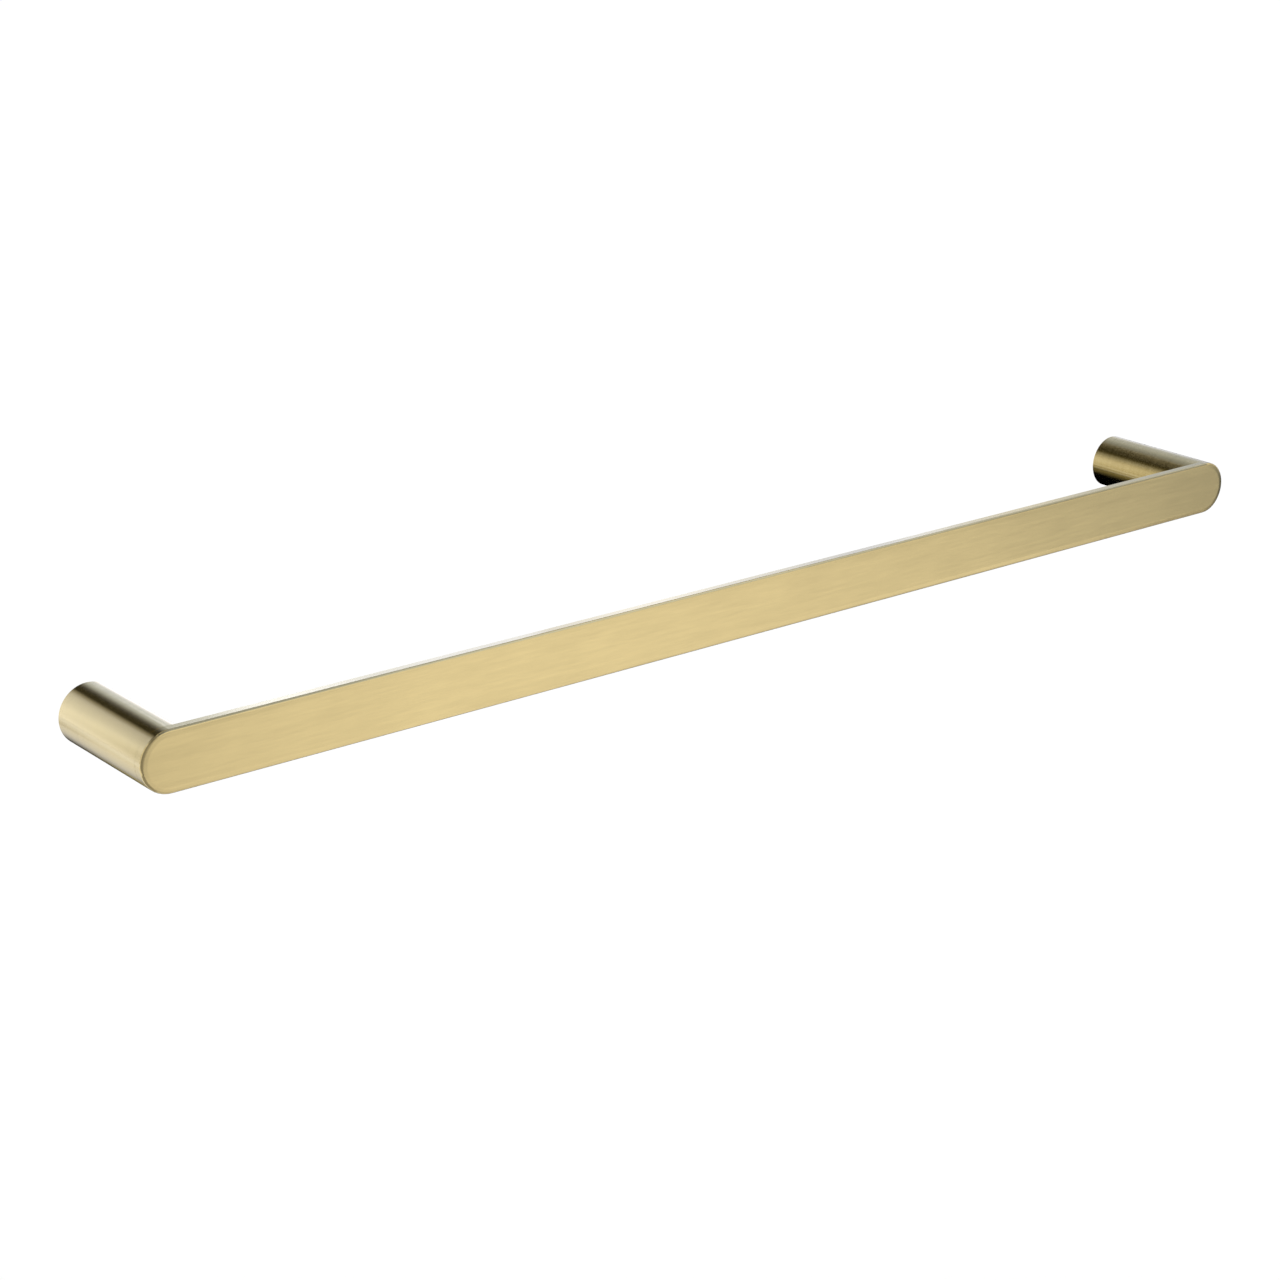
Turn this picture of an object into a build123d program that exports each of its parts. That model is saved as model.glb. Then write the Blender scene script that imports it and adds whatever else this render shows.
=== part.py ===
import os
from math import sqrt

from build123d import *

# Wall-mounted towel rail, in millimetres. X runs along the bar, +Y points into the wall, +Z is up.
# The wall is the plane Y = 0, and the origin is midway between the posts at the bar's mid height.

# Rail
rail_length = 600.0  # over the rounded ends
bar_height = 25.0  # the posts share it, so that they end flush with the bar
bar_thickness = 4.5
projection = 62.0  # wall to the bar's front face
front_edge_round = 1.2
back_edge_bevel = 0.4

# Posts
post_wall = 3.2  # around the bracket socket
post_rim_bevel = 0.4  # outer edge at the wall
socket_depth = 16.0
socket_lead_in = 0.6
screw_passage_diameter = 10.5
post_web = 5.5  # left at the bar end, under the bar screw's head

# Bar screws, M5 socket head
bar_screw_diameter = 5.0
bar_screw_clearance = 0.25  # around the shank, in the post's web
bar_screw_head_diameter = 8.5
bar_screw_head_height = 5.0
bar_screw_head_bevel = 0.4
bar_screw_tip_bevel = 0.6
bar_screw_key = 4.0  # hexagon across flats
bar_screw_key_depth = 2.5
bar_front_skin = 1.3  # left in front of the tapped hole
tapped_hole_end_gap = 0.4

# Lock washers, split spring type
washer_inner_clearance = 0.15
washer_outer_diameter = 9.2
washer_thickness = 1.2
washer_split = 0.7
washer_split_angle = 20.0

# Wall brackets
bracket_length = 12.0
bracket_clearance = 0.15  # around the bracket, in its socket
bracket_edge_bevel = 0.5
groove_from_wall = 6.5
groove_depth = 1.3
groove_floor = 0.8  # the flanks slope at 45 degrees from it
wall_screw_hole_diameter = 4.4
wall_screw_spacing = 9.0
countersink_diameter = 8.2
countersink_angle = 90.0

# Grub screws, M4 cone point
grub_diameter = 4.0
grub_recess = 0.35  # below the post's surface
grub_tip_diameter = 0.8
grub_tip_gap = 0.3
grub_draw = 0.15  # grub axis ahead of the groove, which draws the post to the wall
grub_key = 2.0  # hexagon across flats
grub_key_depth = 1.8

thread_clearance = 0.05  # around each screw in its tapped hole

post_radius = bar_height / 2
post_spacing = rail_length - bar_height
post_length = projection - bar_thickness
post_places = {"left": -post_spacing / 2, "right": post_spacing / 2}
socket_radius = post_radius - post_wall
passage_radius = screw_passage_diameter / 2
shank_radius = bar_screw_diameter / 2
head_radius = bar_screw_head_diameter / 2
bracket_radius = socket_radius - bracket_clearance
groove_radius = bracket_radius - groove_depth
grub_radius = grub_diameter / 2
grub_from_wall = groove_from_wall + grub_draw

# Distances from the wall along each post, from the bar back to the cap head's top
tapped_hole_end = projection - bar_front_skin
screw_tip = tapped_hole_end - tapped_hole_end_gap
washer_seat = post_length - post_web
head_seat = washer_seat - washer_thickness
head_top = head_seat - bar_screw_head_height


def lengthwise(x):
    """Plane through the post axis at x: local X is the radius, local Y runs into the wall."""
    return Plane((x, 0, 0))


def crosswise(x, from_wall):
    """Plane square to the post axis at x, facing the room, at a distance from the wall."""
    return Plane((x, -from_wall, 0), x_dir=(1, 0, 0), z_dir=(0, -1, 0))


def post_axis(x):
    return Axis((x, 0, 0), (0, 1, 0))


os.makedirs("parts", exist_ok=True)

# Flat bar with full-radius ends, tapped from behind for each post's screw
with BuildPart() as rail_bar:
    with BuildSketch(crosswise(0, post_length)):
        SlotOverall(rail_length, bar_height)
    extrude(amount=bar_thickness)
    fillet(rail_bar.faces().sort_by(Axis.Y)[0].edges(), radius=front_edge_round)
    # The bevel on the back edges stops where each post's face begins
    bevel_end = post_spacing / 2 - sqrt(post_radius**2 - (post_radius - back_edge_bevel) ** 2)
    with BuildSketch(Plane.YZ):
        with Locations((-post_length, post_radius), (-post_length, -post_radius)):
            Rectangle(back_edge_bevel * sqrt(2), back_edge_bevel * sqrt(2), rotation=45)
    extrude(amount=bevel_end, both=True, mode=Mode.SUBTRACT)
    with BuildSketch(crosswise(0, post_length)):
        with GridLocations(post_spacing, 0, 2, 1):
            Circle(shank_radius + thread_clearance)
    extrude(amount=tapped_hole_end - post_length, mode=Mode.SUBTRACT)
rail_bar.part.label = "rail_bar"
export_step(rail_bar.part, "parts/rail_bar.step")

# Turned posts: a socket for the bracket at the wall, a passage for the bar screw and a web to clamp
for side, x in post_places.items():
    with BuildPart() as post:
        with BuildSketch(lengthwise(x)):
            with BuildLine():
                Polyline(
                    (socket_radius + socket_lead_in, 0),
                    (post_radius - post_rim_bevel, 0),
                    (post_radius, -post_rim_bevel),
                    (post_radius, -post_length),
                    (shank_radius + bar_screw_clearance, -post_length),
                    (shank_radius + bar_screw_clearance, -washer_seat),
                    (passage_radius, -washer_seat),
                    (passage_radius, -socket_depth - socket_radius + passage_radius),
                    (socket_radius, -socket_depth),
                    (socket_radius, -socket_lead_in),
                    close=True,
                )
            make_face()
        revolve(axis=post_axis(x))
        with BuildSketch(Plane.XY):
            with Locations((x, -grub_from_wall)):
                Circle(grub_radius + thread_clearance)
        extrude(amount=-post_radius, mode=Mode.SUBTRACT)
    post.part.label = f"{side}_post"
    export_step(post.part, f"parts/{side}_post.step")

# Turned wall brackets: a V-groove all round for the grub screw, two countersunk wall screw holes
for side, x in post_places.items():
    half_mouth = groove_floor / 2 + groove_depth
    with BuildPart() as bracket:
        with BuildSketch(lengthwise(x)):
            with BuildLine():
                Polyline(
                    (0, 0),
                    (bracket_radius, 0),
                    (bracket_radius, -groove_from_wall + half_mouth),
                    (groove_radius, -groove_from_wall + groove_floor / 2),
                    (groove_radius, -groove_from_wall - groove_floor / 2),
                    (bracket_radius, -groove_from_wall - half_mouth),
                    (bracket_radius, -bracket_length + bracket_edge_bevel),
                    (bracket_radius - bracket_edge_bevel, -bracket_length),
                    (0, -bracket_length),
                    close=True,
                )
            make_face()
        revolve(axis=post_axis(x))
        with Locations(crosswise(x, bracket_length)):
            with GridLocations(0, wall_screw_spacing, 1, 2):
                CounterSinkHole(
                    wall_screw_hole_diameter / 2,
                    countersink_diameter / 2,
                    depth=bracket_length,
                    counter_sink_angle=countersink_angle,
                )
    bracket.part.label = f"{side}_wall_bracket"
    export_step(bracket.part, f"parts/{side}_wall_bracket.step")

# Socket-head cap screws, heads towards the wall and tips in the bar
with BuildPart() as bar_screws:
    for x in post_places.values():
        with BuildSketch(lengthwise(x)):
            with BuildLine():
                Polyline(
                    (0, -head_top),
                    (head_radius - bar_screw_head_bevel, -head_top),
                    (head_radius, -head_top - bar_screw_head_bevel),
                    (head_radius, -head_seat),
                    (shank_radius, -head_seat),
                    (shank_radius, -screw_tip + bar_screw_tip_bevel),
                    (shank_radius - bar_screw_tip_bevel, -screw_tip),
                    (0, -screw_tip),
                    close=True,
                )
            make_face()
        revolve(axis=post_axis(x))
        with BuildSketch(crosswise(x, head_top)):
            RegularPolygon(bar_screw_key / 2, 6, major_radius=False)
        extrude(amount=bar_screw_key_depth, mode=Mode.SUBTRACT)
bar_screws.part.label = "bar_screws"
export_step(bar_screws.part, "parts/bar_screws.step")

# Split spring washers between the cap heads and the posts' webs, each split at its top
with BuildPart() as lock_washers:
    for x in post_places.values():
        with BuildSketch(crosswise(x, head_seat)):
            Circle(washer_outer_diameter / 2)
            Circle(shank_radius + washer_inner_clearance, mode=Mode.SUBTRACT)
        extrude(amount=washer_thickness)
        with BuildSketch(lengthwise(x)):
            with Locations((0, -(head_seat + washer_seat) / 2)):
                Rectangle(washer_split, 2 * washer_thickness, rotation=washer_split_angle)
        extrude(amount=washer_outer_diameter / 2, mode=Mode.SUBTRACT)
lock_washers.part.label = "lock_washers"
export_step(lock_washers.part, "parts/lock_washers.step")

# Cone-point grub screws, upright in the posts' undersides, points in the brackets' grooves
with BuildPart() as grub_screws:
    tip_radius = grub_tip_diameter / 2
    tip = groove_radius + grub_tip_gap
    end = post_radius - grub_recess
    for x in post_places.values():
        with BuildSketch(crosswise(x, grub_from_wall)):
            with BuildLine():
                Polyline(
                    (0, -tip),
                    (tip_radius, -tip),
                    (grub_radius, -tip - grub_radius + tip_radius),
                    (grub_radius, -end),
                    (0, -end),
                    close=True,
                )
            make_face()
        revolve(axis=Axis((x, -grub_from_wall, 0), (0, 0, 1)))
        with BuildSketch(Plane((x, -grub_from_wall, -end))):
            RegularPolygon(grub_key / 2, 6, major_radius=False)
        extrude(amount=grub_key_depth, mode=Mode.SUBTRACT)
grub_screws.part.label = "grub_screws"
export_step(grub_screws.part, "parts/grub_screws.step")
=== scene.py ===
"""Brushed-gold towel rail: finishes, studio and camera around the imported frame."""

import math
from typing import NamedTuple

import bpy
from mathutils import Matrix, Vector


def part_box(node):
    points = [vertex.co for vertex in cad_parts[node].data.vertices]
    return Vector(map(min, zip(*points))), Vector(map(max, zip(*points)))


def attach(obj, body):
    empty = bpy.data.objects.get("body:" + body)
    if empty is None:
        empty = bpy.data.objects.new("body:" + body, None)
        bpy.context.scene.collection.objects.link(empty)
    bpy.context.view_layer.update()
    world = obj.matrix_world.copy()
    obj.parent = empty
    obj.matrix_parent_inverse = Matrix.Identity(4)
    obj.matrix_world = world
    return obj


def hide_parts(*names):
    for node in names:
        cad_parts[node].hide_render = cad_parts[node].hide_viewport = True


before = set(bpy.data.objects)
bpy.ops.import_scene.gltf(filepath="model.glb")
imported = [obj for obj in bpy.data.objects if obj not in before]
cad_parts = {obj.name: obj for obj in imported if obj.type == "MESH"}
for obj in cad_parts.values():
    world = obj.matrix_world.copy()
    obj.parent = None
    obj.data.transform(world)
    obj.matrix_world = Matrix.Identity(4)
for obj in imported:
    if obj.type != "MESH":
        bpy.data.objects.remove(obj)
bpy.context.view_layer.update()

RIGHT = Vector((1, 0, 0))
TO_THE_ROOM = Vector((0, -1, 0))
UP = Vector((0, 0, 1))

# Camera, worked out from the rail's edges in the photograph
CAMERA_PLACE = (-0.7422, -0.8766, 0.3772)
CAMERA_AIM = (-0.0222, -0.0058, -0.0269)
CAMERA_ROLL = math.radians(0.704)
LENS_MM = 77.16
SENSOR_MM = 36.0

# Floor
FLOOR_DROP = 0.30  # below the rail's mid height
FLOOR_SIZE = 24.0
FLOOR_ALBEDO = 0.8
FLOOR_GLOW = 0.22  # lifts the lit floor to white

# Light, as tints of white
NEUTRAL = (1.0, 1.0, 1.0)
PALE = (1.0, 1.06, 1.25)
COOL = (1.0, 1.08, 1.35)
COLD = (1.0, 1.16, 1.55)
ICE = (1.0, 1.18, 1.90)
BLUE = (0.1, 0.45, 1.0)
WARM = (1.0, 0.92, 0.70)
AMBER = (1.0, 0.90, 0.45)
YELLOW = (1.0, 0.84, 0.1)

# Places of the studio's cards
GROUND = -FLOOR_DROP + 0.01  # just above the floor
GROUND_GAP = 0.001  # between layers of cards on the floor
BACK = 1.2  # distance behind the wall plane
BACK_GAP = 0.005  # between layers of cards there
BACK_PIVOT = (-0.10, BACK, 0.15)  # the back card's brightness changes round it
WING_LAYER = 2  # of the wings, before the back card
WING_EDGE = -1.16  # where the left wing and the lit floor beside it begin
STRIP_FOOT = 0.42  # lower edge of the bright strip and of the shade behind it
ROOF = 1.4  # height
FRONT_CORNER = (1.05, -0.35)  # where the cards before the rail meet those on its right
FRONT_SEAM = 0.15  # height where the front's upper card begins
POST_GLOW_PLACE = 0.12  # distance of the right post's card behind the wall plane

# Brushing: scale and detail of each noise, and its share
FINE_NOISE = (3.0, 2.0)
MEDIUM_NOISE = (1.0, 3.0)
BROAD_NOISE = (0.25, 2.0)
CLOUD_NOISE = (28.0, 3.0)
FINE_SHARE = 0.34
MEDIUM_SHARE = 0.48
BROAD_SHARE = 0.18
CLOUD_SHARE = 0.3  # of the tone, with the streaks as the rest
NOISE_LOW = 0.3  # usual limits of a noise value
NOISE_HIGH = 0.7
BUMP_STRENGTH = 0.5
BUMP_FINE_SHARE = 0.4  # of the bump, with the medium noise as the rest
ROUGH_SWING = 0.03  # of the roughness, either way
FACE_START = 0.6  # how squarely a surface faces Y where its roughness starts to change to a face's
FACE_END = 0.9

# Polish of the bar's face, which falls away a little beside its rounded edge, in metres
EDGE_ROUND = 0.0012
ROLL_WIDTH = 0.0016
ROLL_SLOPE = 0.14  # fall for each unit of width

# Screws, in metres
TURN_STEPS = 72  # points round a screw
PITCH_STEPS = 12  # rows to each pitch of a thread
SHARP_ANGLE = math.radians(35.0)
THREAD_DEPTH = 0.613  # of the pitch
CREST_START = 0.875  # of the way from a groove's middle to a ridge's middle
ROOT_END = 0.25
BAR_SCREW_RADIUS = 0.0025
BAR_SCREW_PITCH = 0.0008
BAR_SCREW_KEY = 0.0040
BAR_SCREW_KEY_DEPTH = 0.0025
BAR_SCREW_TIP_BEVEL = 0.0006
HEAD_BEVEL = 0.0004
KNURL_DEPTH = 0.00012
KNURL_RIDGES = 36
KNURL_MARGIN = 0.0004  # plain at either end of the head's side
GRUB_PITCH = 0.0007
GRUB_KEY = 0.0020
GRUB_KEY_DEPTH = 0.0018
GRUB_TIP_RADIUS = 0.0004
GRUB_END_BEVEL = 0.00015
MOUTH_BEVEL = 0.00015  # round each key socket's mouth


class Finish(NamedTuple):
    """Looks of a brushed metal."""

    colour: tuple  # linear
    grain: tuple  # how fast the streaks change along X, Y and Z: slow along the brushing, fast across
    streaks: float  # how far their tone swings either way
    face_rough: float  # roughness of faces square to Y
    side_rough: float  # and of all others
    anisotropy: float
    depth: float  # of the grain, in metres


GOLD = (0.74, 0.59, 0.29)
BAR_GOLD = Finish(
    colour=GOLD,
    grain=(45.0, 700.0, 700.0),
    streaks=0.105,
    face_rough=0.24,
    side_rough=0.17,
    anisotropy=0.6,
    depth=0.00001,
)
POST_GOLD = Finish(
    colour=GOLD,
    grain=(12.0, 800.0, 12.0),
    streaks=0.08,
    face_rough=0.17,
    side_rough=0.17,
    anisotropy=0.6,
    depth=0.000005,
)
TURNED_BRASS = Finish(
    colour=(0.60, 0.42, 0.17),
    grain=(30.0, 1200.0, 30.0),
    streaks=0.08,
    face_rough=0.30,
    side_rough=0.30,
    anisotropy=0.5,
    depth=0.00001,
)
STAINLESS = Finish(
    colour=(0.55, 0.55, 0.54),
    grain=(400.0, 400.0, 400.0),
    streaks=0.08,
    face_rough=0.30,
    side_rough=0.30,
    anisotropy=0.0,
    depth=0.00001,
)


class Shader:
    """A material's node tree, with short calls for the nodes used here."""

    def __init__(self, name):
        self.material = bpy.data.materials.new(name)
        self.material.use_nodes = True
        self.tree = self.material.node_tree
        self.bsdf = self.tree.nodes["Principled BSDF"]

    def node(self, kind, **settings):
        made = self.tree.nodes.new(kind)
        for key, value in settings.items():
            setattr(made, key, value)
        return made

    def feed(self, socket, value):
        if isinstance(value, bpy.types.NodeSocket):
            self.tree.links.new(value, socket)
        else:
            socket.default_value = value

    def math(self, operation, a, b=0.0):
        made = self.node("ShaderNodeMath", operation=operation)
        self.feed(made.inputs[0], a)
        self.feed(made.inputs[1], b)
        return made.outputs[0]

    def vector(self, operation, a, b=(0.0, 0.0, 0.0)):
        made = self.node("ShaderNodeVectorMath", operation=operation)
        self.feed(made.inputs[0], a)
        self.feed(made.inputs[1], b)
        return made.outputs[0]

    def parts(self, vector):
        """Outputs X, Y and Z of a vector."""
        made = self.node("ShaderNodeSeparateXYZ")
        self.feed(made.inputs[0], vector)
        return made.outputs

    def blend(self, *shares):
        """Values added up, each by its share."""
        total = 0.0
        for value, share in shares:
            total = self.math("ADD", self.math("MULTIPLY", value, share), total)
        return total

    def noise(self, coordinates, scale, detail):
        made = self.node("ShaderNodeTexNoise")
        self.feed(made.inputs["Vector"], coordinates)
        made.inputs["Scale"].default_value = scale
        made.inputs["Detail"].default_value = detail
        return made.outputs["Fac"]

    def ramp(self, value, start, end, low, high):
        """low up to start, high from end on, and an even change between them."""
        made = self.node("ShaderNodeMapRange")
        self.feed(made.inputs["Value"], value)
        made.inputs["From Min"].default_value = start
        made.inputs["From Max"].default_value = end
        made.inputs["To Min"].default_value = low
        made.inputs["To Max"].default_value = high
        return made.outputs["Result"]

    def spread(self, noise, low, high):
        """A noise value between its usual limits, spread to low..high."""
        return self.ramp(noise, NOISE_LOW, NOISE_HIGH, low, high)

    # A mix node has sockets for each kind of data, which share their names and are told apart by their places

    def mix_vector(self, factor, a, b):
        made = self.node("ShaderNodeMix", data_type="VECTOR")
        self.feed(made.inputs["Factor"], factor)
        self.feed(made.inputs[4], a)
        self.feed(made.inputs[5], b)
        return made.outputs[1]

    def mix_colour(self, factor, a, b):
        made = self.node("ShaderNodeMix", data_type="RGBA")
        self.feed(made.inputs["Factor"], factor)
        made.inputs[6].default_value = (*a, 1.0)
        made.inputs[7].default_value = (*b, 1.0)
        return made.outputs[2]

    def mix_shader(self, factor, a, b):
        made = self.node("ShaderNodeMixShader")
        self.feed(made.inputs["Fac"], factor)
        self.feed(made.inputs[1], a)
        self.feed(made.inputs[2], b)
        return made.outputs[0]

    def surface(self, shader):
        """Use a shader in place of the principled one."""
        self.tree.nodes.remove(self.bsdf)
        self.feed(self.tree.nodes["Material Output"].inputs["Surface"], shader)


def scaled(colour, factor):
    return tuple(channel * factor for channel in colour)


def brushed(name, finish, axis_x=None, rim=None):
    """Brushed metal. Faces square to Y are brushed along X or, given a post's axis, in rings round it."""
    s = Shader(name)
    place = s.node("ShaderNodeTexCoord").outputs["Object"]
    grain_space = s.vector("MULTIPLY", place, finish.grain)
    fine = s.noise(grain_space, *FINE_NOISE)
    medium = s.noise(grain_space, *MEDIUM_NOISE)
    broad = s.noise(grain_space, *BROAD_NOISE)
    cloud = s.noise(place, *CLOUD_NOISE)

    streak = s.blend((fine, FINE_SHARE), (medium, MEDIUM_SHARE), (broad, BROAD_SHARE))
    tone = s.blend((streak, 1 - CLOUD_SHARE), (cloud, CLOUD_SHARE))
    darkest = scaled(finish.colour, 1 - finish.streaks)
    lightest = scaled(finish.colour, 1 + finish.streaks)
    s.feed(s.bsdf.inputs["Base Color"], s.mix_colour(s.spread(tone, 0.0, 1.0), darkest, lightest))
    s.bsdf.inputs["Metallic"].default_value = 1.0
    s.bsdf.inputs["Anisotropic"].default_value = finish.anisotropy

    bump = s.node("ShaderNodeBump")
    bump.inputs["Strength"].default_value = BUMP_STRENGTH
    bump.inputs["Distance"].default_value = finish.depth
    s.feed(bump.inputs["Height"], s.blend((fine, BUMP_FINE_SHARE), (medium, 1 - BUMP_FINE_SHARE)))
    if rim:
        s.feed(bump.inputs["Normal"], rim(s, place))
    s.feed(s.bsdf.inputs["Normal"], bump.outputs["Normal"])

    normal = s.node("ShaderNodeNewGeometry").outputs["Normal"]
    facing = s.math("ABSOLUTE", s.parts(normal)["Y"])
    rough = s.ramp(facing, FACE_START, FACE_END, finish.side_rough, finish.face_rough)
    swing = s.spread(streak, -ROUGH_SWING, ROUGH_SWING)
    s.feed(s.bsdf.inputs["Roughness"], s.math("ADD", rough, swing))
    if axis_x is None:
        across = UP
    else:
        across = s.vector("MULTIPLY", s.vector("SUBTRACT", place, (axis_x, 0.0, 0.0)), (1.0, 0.0, 1.0))
    on_face = s.math("GREATER_THAN", facing, (FACE_START + FACE_END) / 2)
    s.feed(s.bsdf.inputs["Tangent"], s.mix_vector(on_face, -TO_THE_ROOM, across))
    return s.material


def rolled_rim(s, place):
    """Normal of the bar's surface, whose face falls away a little towards its rim, as polishing leaves it."""
    low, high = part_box("rail_bar")
    radius = (high.z - low.z) / 2
    rounding = radius - EDGE_ROUND
    parts = s.parts(place)
    x, z = parts["X"], parts["Z"]
    past_end = s.math("MAXIMUM", s.math("SUBTRACT", s.math("ABSOLUTE", x), high.x - radius), 0.0)
    outward = s.node("ShaderNodeCombineXYZ")
    s.feed(outward.inputs["X"], s.math("MULTIPLY", past_end, s.math("SIGN", x)))
    s.feed(outward.inputs["Z"], z)
    reach = s.math("SQRT", s.math("ADD", s.math("MULTIPLY", past_end, past_end), s.math("MULTIPLY", z, z)))
    tilt = s.ramp(reach, rounding - ROLL_WIDTH, rounding - ROLL_WIDTH / 2, 0.0, ROLL_SLOPE)
    lean = s.node("ShaderNodeVectorMath", operation="SCALE")
    s.feed(lean.inputs[0], s.vector("NORMALIZE", outward.outputs[0]))
    s.feed(lean.inputs["Scale"], tilt)
    normal = s.node("ShaderNodeNewGeometry").outputs["Normal"]
    return s.vector("NORMALIZE", s.vector("ADD", normal, lean.outputs[0]))


def dress(node, material):
    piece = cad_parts[node]
    piece.data.materials.clear()
    piece.data.materials.append(material)


def post_axes():
    boxes = [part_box("left_post"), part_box("right_post")]
    return [(low.x + high.x) / 2 for low, high in boxes]


def finish_rail():
    dress("rail_bar", brushed("brushed_gold_bar", BAR_GOLD, rim=rolled_rim))
    for side, axis_x in zip(("left", "right"), post_axes()):
        dress(f"{side}_post", brushed(f"brushed_gold_{side}_post", POST_GOLD, axis_x))
        dress(f"{side}_wall_bracket", brushed(f"turned_brass_{side}", TURNED_BRASS, axis_x))
    steel = brushed("stainless", STAINLESS)
    dress("lock_washers", steel)
    make_bar_screws(steel)
    make_grub_screws(steel)


def circle(radius):
    return lambda angle: radius


def hexagon(flats):
    """Key socket with two corners on the first axis."""
    return lambda angle: flats / 2 / math.cos(angle % (math.pi / 3) - math.pi / 6)


def knurl(radius):
    return lambda angle: radius - KNURL_DEPTH * (1 - math.cos(KNURL_RIDGES * angle)) / 2


def thread(radius, pitch, place, fade, limit):
    """Outline of a right-hand thread at a place along it, faded where it runs in and no wider than limit."""
    def outline(angle):
        phase = (place / pitch - angle / (2 * math.pi)) % 1.0
        ridge = abs(2 * phase - 1)
        groove = min(max((CREST_START - ridge) / (CREST_START - ROOT_END), 0.0), 1.0)
        return min(radius - fade * groove * THREAD_DEPTH * pitch, limit)
    return outline


def turned(name, starts, along, first, rings, node, material):
    """The same solid from each start, round an axis that points along, with angles counted from first.
    A ring is (distance, outline)."""
    second = along.cross(first)
    angles = [2 * math.pi * step / TURN_STEPS for step in range(TURN_STEPS)]
    points, faces = [], []
    for start in starts:
        floor = len(points)
        points.append(start + along * rings[0][0])
        for distance, outline in rings:
            for angle in angles:
                points.append(start + along * distance
                              + (first * math.cos(angle) + second * math.sin(angle)) * outline(angle))
        tip = len(points)
        points.append(start + along * rings[-1][0])
        for step in range(TURN_STEPS):
            after = (step + 1) % TURN_STEPS
            faces.append((floor, floor + 1 + after, floor + 1 + step))
            for ring in range(floor + 1, tip - TURN_STEPS, TURN_STEPS):
                faces.append((ring + step, ring + after, ring + TURN_STEPS + after, ring + TURN_STEPS + step))
            faces.append((tip - TURN_STEPS + step, tip - TURN_STEPS + after, tip))
    mesh = bpy.data.meshes.new(name)
    mesh.from_pydata(points, [], faces)
    mesh.polygons.foreach_set("use_smooth", [True] * len(mesh.polygons))
    mesh.set_sharp_from_angle(angle=SHARP_ANGLE)
    mesh.materials.append(material)
    piece = bpy.data.objects.new(name, mesh)
    bpy.context.scene.collection.objects.link(piece)
    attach(piece, "root")
    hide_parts(node)


def key_socket(flats, depth):
    mouth = flats / 2 / math.cos(math.pi / 6) + MOUTH_BEVEL
    return [(depth, hexagon(flats)), (MOUTH_BEVEL, hexagon(flats)), (0.0, circle(mouth))]


def make_bar_screws(material):
    """M5 socket-head cap screws from inside the posts into the bar, heads towards the wall."""
    low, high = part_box("bar_screws")
    head_height = high.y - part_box("lock_washers")[1].y
    head_radius = high.z
    length = high.y - low.y
    rings = key_socket(BAR_SCREW_KEY, BAR_SCREW_KEY_DEPTH)
    rings += [
        (0.0, circle(head_radius - HEAD_BEVEL)),
        (HEAD_BEVEL, circle(head_radius)),
        (HEAD_BEVEL + KNURL_MARGIN, knurl(head_radius)),
        (head_height - 2 * KNURL_MARGIN, knurl(head_radius)),
        (head_height - KNURL_MARGIN, circle(head_radius)),
        (head_height, circle(head_radius)),
    ]
    rows = round((length - head_height) / BAR_SCREW_PITCH * PITCH_STEPS)
    for row in range(rows + 1):
        place = head_height + (length - head_height) * row / rows
        fade = min((place - head_height) / BAR_SCREW_PITCH, 1.0)
        limit = BAR_SCREW_RADIUS - max(place - length + BAR_SCREW_TIP_BEVEL, 0.0)
        rings.append((place, thread(BAR_SCREW_RADIUS, BAR_SCREW_PITCH, place, fade, limit)))
    starts = [Vector((x, high.y, 0.0)) for x in post_axes()]
    turned("cap_screws", starts, TO_THE_ROOM, RIGHT, rings, "bar_screws", material)


def make_grub_screws(material):
    """M4 cone-point grub screws in the posts' undersides, key sockets facing down."""
    low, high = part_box("grub_screws")
    radius = (high.y - low.y) / 2
    length = high.z - low.z
    rings = key_socket(GRUB_KEY, GRUB_KEY_DEPTH)
    rows = round(length / GRUB_PITCH * PITCH_STEPS)
    for row in range(rows + 1):
        place = length * row / rows
        limit = min(radius - GRUB_END_BEVEL + place, GRUB_TIP_RADIUS + length - place)
        rings.append((place, thread(radius, GRUB_PITCH, place, 1.0, limit)))
    starts = [Vector((x, (low.y + high.y) / 2, low.z)) for x in post_axes()]
    turned("set_screws", starts, UP, RIGHT, rings, "grub_screws", material)


def make_plane(name, corners, material):
    mesh = bpy.data.meshes.new(name)
    mesh.from_pydata(corners, [], [(0, 1, 2, 3)])
    mesh.uv_layers.new(name="UVMap")
    for loop, place in zip(mesh.uv_layers[0].data, ((0, 0), (1, 0), (1, 1), (0, 1))):
        loop.uv = place
    mesh.materials.append(material)
    plane = bpy.data.objects.new(name, mesh)
    bpy.context.scene.collection.objects.link(plane)
    return plane


def oblong(left, right, near, far):
    """Ground plan whose length runs from left to right."""
    return [(left, near), (right, near), (right, far), (left, far)]


def level(plan, height):
    """Corners of a level plane over a ground plan."""
    return [(x, y, height) for x, y in plan]


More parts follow.
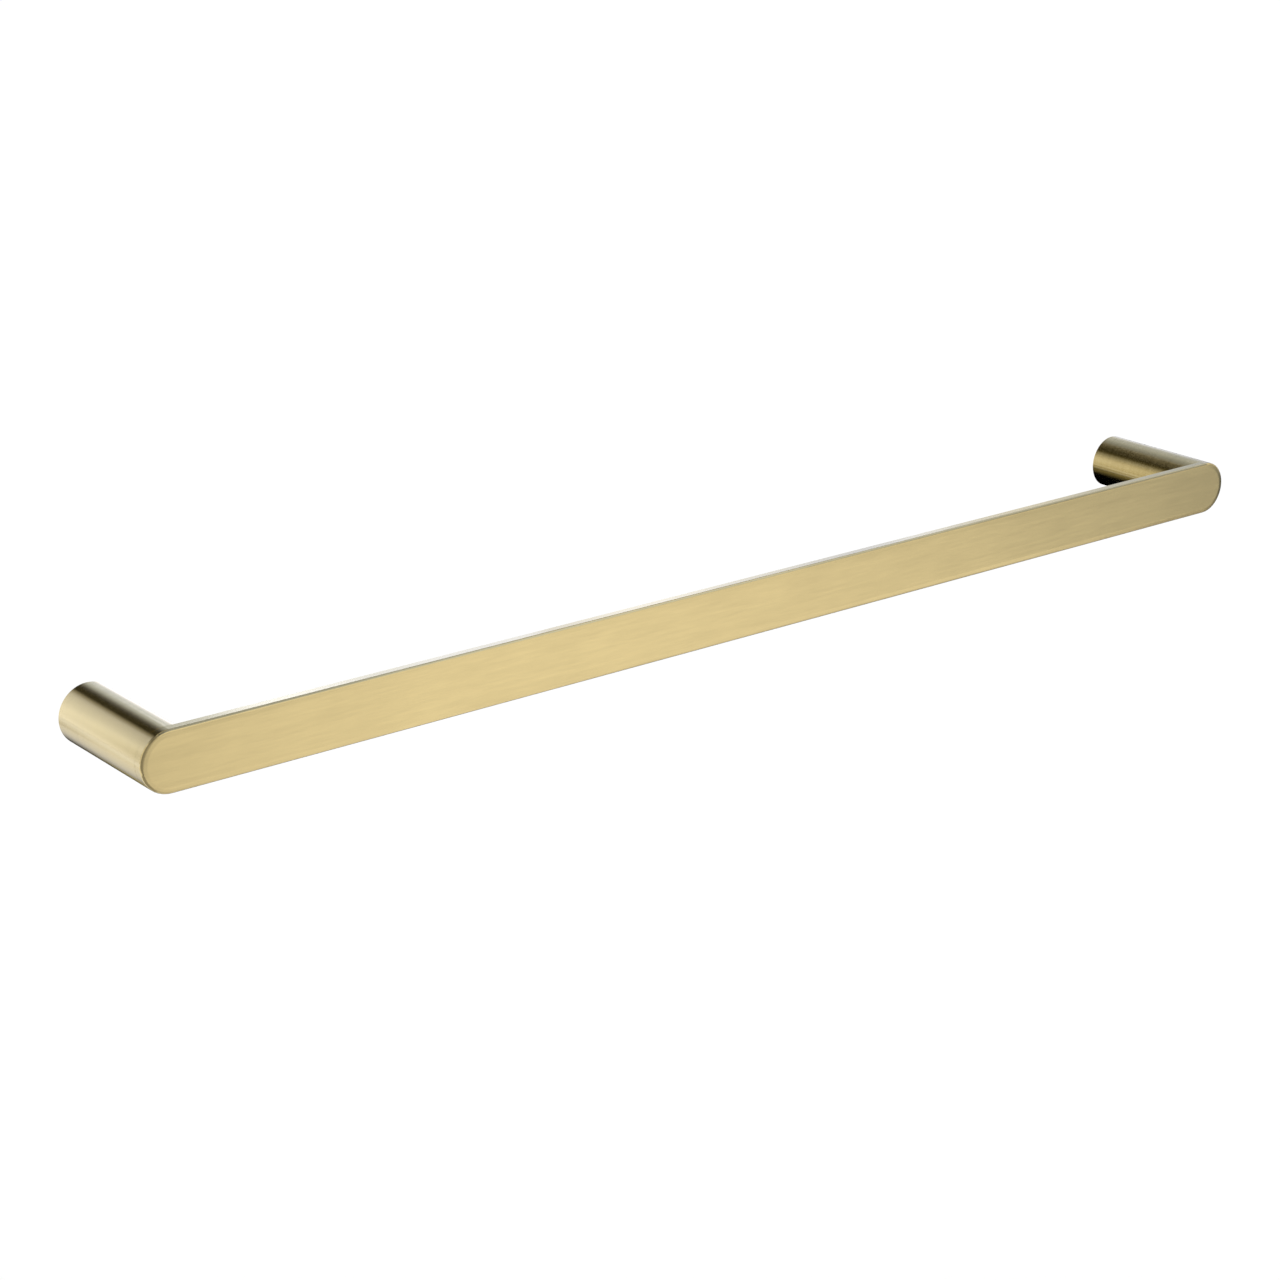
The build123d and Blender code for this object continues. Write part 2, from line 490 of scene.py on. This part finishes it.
def floor_material():
    """White floor, clear from below, which glows a little for the rays that show it."""
    s = Shader("pale_floor")
    path = s.node("ShaderNodeLightPath")
    shown = path.outputs["Is Camera Ray"]
    for other in ("Is Glossy Ray", "Is Transmission Ray"):
        shown = s.math("MAXIMUM", shown, path.outputs[other])
    diffuse = s.node("ShaderNodeBsdfDiffuse")
    diffuse.inputs["Color"].default_value = (FLOOR_ALBEDO, FLOOR_ALBEDO, FLOOR_ALBEDO, 1.0)
    glow = s.node("ShaderNodeEmission")
    s.feed(glow.inputs["Strength"], s.math("MULTIPLY", shown, FLOOR_GLOW))
    both = s.node("ShaderNodeAddShader")
    s.feed(both.inputs[0], diffuse.outputs[0])
    s.feed(both.inputs[1], glow.outputs[0])
    below = s.node("ShaderNodeNewGeometry").outputs["Backfacing"]
    clear = s.node("ShaderNodeBsdfTransparent").outputs[0]
    s.surface(s.mix_shader(below, both.outputs[0], clear))
    return s.material


def make_floor():
    half = FLOOR_SIZE / 2
    make_plane("floor", level(oblong(-half, half, -half, half), -FLOOR_DROP), floor_material())


def card_material(name, stops, tint, strength, around):
    """A glowing card. Each stop is (place, brightness, cover), where a cover of 0 is clear, and may end with
    a tint of its own. A place is a share of the card's length or, around a pivot, an angle in degrees right
    of straight up."""
    s = Shader(name)
    if around:
        place = s.node("ShaderNodeNewGeometry").outputs["Position"]
        from_pivot = s.parts(s.vector("SUBTRACT", place, around))
        turn = s.math("ARCTAN2", from_pivot["X"], from_pivot["Z"])
        along = s.math("ADD", s.math("DIVIDE", turn, 2 * math.pi), 0.5)
        stops = [(degrees / 360 + 0.5, *rest) for degrees, *rest in stops]
    else:
        along = s.parts(s.node("ShaderNodeUVMap").outputs["UV"])["X"]
    ramp = s.node("ShaderNodeValToRGB")
    s.feed(ramp.inputs["Fac"], along)
    elements = ramp.color_ramp.elements
    elements.remove(elements[1])
    for position, brightness, cover, *own_tint in stops:
        stop = elements[0] if position == stops[0][0] else elements.new(position)
        stop.position = position
        stop.color = (*scaled(own_tint[0] if own_tint else tint, brightness), cover)
    glow = s.node("ShaderNodeEmission")
    s.feed(glow.inputs["Color"], ramp.outputs["Color"])
    glow.inputs["Strength"].default_value = strength
    clear = s.node("ShaderNodeBsdfTransparent").outputs[0]
    s.surface(s.mix_shader(ramp.outputs["Alpha"], clear, glow.outputs[0]))
    return s.material


def make_card(name, corners, stops, tint=NEUTRAL, strength=1.0, around=None):
    """A card of the studio, which reflections alone see."""
    card = make_plane(name, corners, card_material(name, stops, tint, strength, around))
    for other in ("camera", "diffuse", "shadow", "transmission", "volume_scatter"):
        setattr(card, f"visible_{other}", False)


def whole(*tones):
    """Stops that hide all behind them, from (place, brightness) or (place, brightness, tint)."""
    return [(place, brightness, 1, *own_tint) for place, brightness, *own_tint in tones]


def even(brightness, *covers):
    """Stops of one brightness, from (place, cover)."""
    return [(place, brightness, cover) for place, cover in covers]


def dark(*covers):
    """Stops of a black card, from (place, cover)."""
    return even(0, *covers)


def upright(start, end, low, high):
    """Corners of an upright card from start to end on the ground plan, between two heights."""
    return [(*start, low), (*end, low), (*end, high), (*start, high)]


def back_layer(layer):
    """Y of the cards behind the rail, so many layers before the hindmost."""
    return BACK - layer * BACK_GAP


def behind(start, end, low, high, layer):
    """Corners of an upright card behind the rail, from start to end along X."""
    return upright((start, back_layer(layer)), (end, back_layer(layer)), low, high)


def on_floor(plan, layer):
    """Corners of a card on the floor, so many layers above GROUND or, where layer is negative, below it."""
    return level(plan, GROUND + layer * GROUND_GAP)


def make_back_cards():
    """Behind the rail, for the posts' upper sides: light at both ends, with a dark gap between."""
    left, right, top = -1.7, 2.3, 2.0
    back = behind(left, right, low=GROUND, high=top, layer=0)
    sweep = whole(
        (-90, 1.33), (-75, 1.04), (-60, 0.98), (-46, 0.84), (-36, 0.62), (-25, 0.32, NEUTRAL),
        (-15, 0.04, AMBER), (-3, 0.04, AMBER), (10, 0.05, NEUTRAL), (24, 0.18), (37, 0.44, COLD),
        (51, 0.65, COLD), (65, 0.66, COLD), (80, 0.72, COLD), (95, 1.06), (115, 1.6),
    )
    make_card("back_card", back, sweep, COOL, around=BACK_PIVOT)
    left_wing = behind(WING_EDGE, left, low=GROUND, high=1.0, layer=WING_LAYER)
    make_card("back_wing", left_wing, even(0.34, (0, 0), (0.09, 1)), AMBER)
    right_wing = behind(0.55, right, low=STRIP_FOOT, high=top, layer=WING_LAYER)
    make_card("right_wing", right_wing, dark((0, 0.1), (0.15, 0.30), (0.5, 0.28), (1, 0.24)))


def make_upper_cards():
    """High behind the rail, where the dark gap widens."""
    left, middle, right, top = -1.25, -0.75, 0.65, 1.9
    layer = 4
    y = back_layer(layer)
    corner = [(left, y, 0.40), (middle, y, 0.88), (middle, y, top), (left, y, top)]
    fade_in = [(0, 0.2, 0), (0.12, 0.15, 0.5), (0.35, 0.08, 0.9), (0.65, 0.04, 1), (1, 0.02, 1)]
    make_card("back_corner", corner, fade_in, AMBER)
    upper = behind(middle, right, low=1.0, high=top, layer=layer)
    fade_out = [(0.3, 0.02, 1), (0.55, 0.05, 0.95), (0.75, 0.10, 0.6), (1, 0.2, 0.1)]
    make_card("back_upper", upper, fade_out, AMBER)


def make_strip_cards():
    """Bright strips before the other back cards, for the light line along the bar's flat top."""
    strip = behind(0.60, 1.5, low=STRIP_FOOT, high=0.75, layer=6)
    line = [
        (0, 0.7, 0), (0.08, 0.6, 1), (0.18, 0.54, 1), (0.28, 0.62, 0.97), (0.38, 0.9, 0.88),
        (0.57, 0.95, 0.6), (0.68, 0.95, 0.86), (0.745, 0.95, 0.88), (0.83, 0.95, 0.42),
        (0.9, 1, 0.12), (1, 1, 0.06),
    ]
    make_card("back_strip", strip, line, ICE, strength=2.2)
    start = behind(0.43, 0.66, low=0.54, high=0.82, layer=7)
    make_card("strip_start", start, [(0, 1, 0), (0.3, 1, 1), (0.75, 0.85, 1), (1, 0.8, 0)], ICE, strength=2.1)
    end = behind(1.30, 2.0, low=0.46, high=0.64, layer=8)
    make_card("low_strip", end, even(1, (0, 0), (0.3, 0.4), (0.5, 0.12), (0.7, 0)), strength=2.0)


def make_floor_cards():
    """On the floor behind the rail, for the posts' lower sides: light on the left and dark on the right."""
    wing = back_layer(WING_LAYER)
    floor = on_floor(oblong(-0.75, 1.25, near=0.05, far=0.80), layer=0)
    fall = [
        (0, 1, 0), (0.05, 1, 1), (0.175, 0.8, 1), (0.205, 0.66, 1),
        (0.26, 0.2, 1), (0.29, 0.02, 1), (0.32, 0, 1),
    ]
    make_card("floor_card", floor, fall, PALE)
    left = on_floor([(WING_EDGE, 0.56), (WING_EDGE, wing), (-0.58, wing), (-0.58, 0.56)], layer=-2)
    make_card("floor_left", left, [(0, 1.05, 0), (0.1, 1.05, 1), (0.6, 1.03, 1), (1, 1.06, 1)], COOL)
    far = on_floor([(-0.57, 0.57), (0.1, 0.57), (0.1, 0.85), (-0.735, 0.85)], layer=2)
    make_card("floor_far", far, [(0, 0.25, 0), (0.07, 0.25, 0.9), (0.5, 0.1, 1), (1, 0, 1)], WARM)
    corner = on_floor([(-1.6, 0.98), (-0.98, 0.98), (-1.15, wing), (-1.6, wing)], layer=2)
    make_card("floor_corner", corner, even(0.3, (0, 0.9), (0.75, 0.8), (1, 0)), WARM)
    near = on_floor(oblong(-0.3, 0.2, near=0.2, far=0.385), layer=3)
    make_card("floor_near", near, [(0, 0.6, 0), (0.2, 0.36, 1), (0.5, 0.14, 1), (0.8, 0, 1)], AMBER)


def make_roof_cards():
    """Overhead, for the rounding along the bar's top and, on the left, for the rim of its left end."""
    rim_edge, middle, right = -0.45, 0.30, 2.3
    seam = 0.35
    front = level(oblong(middle, right, near=-0.95, far=seam), ROOF)
    ceiling = whole(
        (0, 0.38), (0.12, 0.4), (0.18, 0.62), (0.26, 0.8),
        (0.34, 0.8), (0.47, 0.72), (0.63, 0.54), (0.8, 0.36),
    )
    make_card("roof_card", front, ceiling, COLD)
    back = level(oblong(middle, 1.05, near=seam, far=0.95), ROOF)
    make_card("roof_back", back, [(0, 0.38, 1), (0.65, 0.45, 1), (1, 0.6, 0)], COLD)
    far = level(oblong(1.30, right, near=seam, far=0.80), ROOF)
    make_card("roof_far", far, even(0.5, (0, 0), (0.2, 0.8), (0.5, 1)), COLD)
    left = level(oblong(rim_edge, middle, near=-1.0, far=0.5), height=1.35)
    make_card("roof_left", left, [(0, 0.05, 0.9), (0.5, 0.2, 1), (1, 0.38, 1)], COLD)
    rim = level(oblong(-1.3, rim_edge, near=-1.0, far=1.0), height=1.2)
    make_card("rim_card", rim, dark((0, 0.3), (0.4, 0.6), (0.6, 0.75)))


def make_front_cards():
    """Before the rail: they shade the bar's face towards its ends, and the rims of those ends."""
    right = upright((0.45, -0.80), FRONT_CORNER, low=GROUND, high=FRONT_SEAM)
    shade = [(0.03, 0, 0), (0.22, 0.03, 0.15), (0.45, 0.1, 0.36), (0.68, 0.12, 0.53), (1, 0.08, 0.88)]
    make_card("right_card", right, shade, BLUE)
    upper = upright((-0.1, -1.1), FRONT_CORNER, low=FRONT_SEAM, high=0.9)
    make_card("front_upper", upper, dark((0.35, 0), (0.6, 0.06), (0.8, 0.35), (1, 0.5)))
    left = upright((-0.20, -0.82), (-1.02, 0.20), low=GROUND, high=0.8)
    make_card("left_card", left, dark((0, 0), (0.06, 0.28), (0.2, 0.45), (0.34, 0.6), (0.6, 0.7), (1, 0.6)))
    middle = upright((0.25, -0.72), (-0.3, -0.5), low=GROUND, high=0.3)
    make_card("front_card", middle, dark((0, 0), (0.2, 0.12), (0.5, 0.32)))


def make_side_cards():
    """On the rail's right: black low down, and a veil above it."""
    end, seam = (1.15, 0.60), -0.1
    make_card("side_card", upright(FRONT_CORNER, end, low=GROUND, high=seam), dark((0, 1)))
    make_card("side_upper", upright(FRONT_CORNER, end, low=seam, high=0.45), dark((0, 0.4)))
    make_card("side_low", upright((1.13, 0.40), (1.25, 1.05), low=GROUND, high=-0.05), dark((0, 1)))


def make_under_cards():
    """On the floor under and before the bar, for the dark line along its bottom edge."""
    seam = -0.28
    left_end = on_floor(oblong(-0.65, seam, near=-0.5, far=0.02), layer=2)
    make_card("under_card", left_end, dark((0, 0.65)))
    left = on_floor(oblong(seam, 0.12, near=-0.45, far=-0.05), layer=3)
    make_card("under_left", left, dark((0, 0.45), (0.35, 0.3), (0.6, 0.08), (0.8, 0)))
    right = on_floor(oblong(0.05, 0.65, near=-0.3, far=0.1), layer=4)
    make_card("under_right", right, dark((0, 0), (0.15, 0.2), (0.3, 0.18), (0.45, 0.27), (0.6, 0.35)))
    right_end = on_floor(oblong(0.55, 1.3, near=-0.40, far=0.05), layer=6)
    make_card("floor_right", right_end, dark((0, 0), (0.2, 0.75)))


def make_post_cards():
    """Close to the right post: a glow for its left side, and black below it."""
    axis_x = post_axes()[1]
    beside = upright((0.02, POST_GLOW_PLACE), (0.30, POST_GLOW_PLACE), low=-0.22, high=0.27)
    glow = [
        (-126, 0.4, 0), (-116, 0.4, 0.25), (-110, 0.35, 0.5), (-100, 0.36, 0.52), (-90, 0.52, 0.3),
        (-80, 0.6, 0.22), (-70, 0.58, 0.28), (-60, 0.46, 0.25), (-50, 0.22, 0.38), (-40, 0.08, 0.5),
        (-30, 0.035, 0.5), (-20, 0.05, 0.35), (-10, 0.05, 0.1), (0, 0.05, 0),
    ]
    make_card("gold_card", beside, glow, YELLOW, around=(axis_x, POST_GLOW_PLACE, 0))
    below = level(oblong(axis_x - 0.0405, axis_x + 0.0225, near=-0.052, far=0.06), height=-0.05)
    make_card("post_card", below, dark((0, 0.9)))


def make_cards():
    make_back_cards()
    make_upper_cards()
    make_strip_cards()
    make_floor_cards()
    make_roof_cards()
    make_front_cards()
    make_side_cards()
    make_under_cards()
    make_post_cards()


def make_world():
    world = bpy.data.worlds.new("studio")
    world.use_nodes = True
    world.node_tree.nodes["Background"].inputs["Color"].default_value = (1.0, 1.0, 1.0, 1.0)
    world.node_tree.nodes["Background"].inputs["Strength"].default_value = 1.0
    bpy.context.scene.world = world


def make_camera():
    data = bpy.data.cameras.new("camera")
    data.lens = LENS_MM
    data.sensor_width = SENSOR_MM
    camera = bpy.data.objects.new("camera", data)
    look = (Vector(CAMERA_AIM) - Vector(CAMERA_PLACE)).to_track_quat("-Z", "Y").to_matrix().to_4x4()
    camera.matrix_world = Matrix.Translation(CAMERA_PLACE) @ look @ Matrix.Rotation(CAMERA_ROLL, 4, "Z")
    bpy.context.scene.collection.objects.link(camera)
    bpy.context.scene.camera = camera


finish_rail()
make_floor()
make_cards()
make_world()
make_camera()
bpy.context.scene.view_settings.view_transform = "Standard"
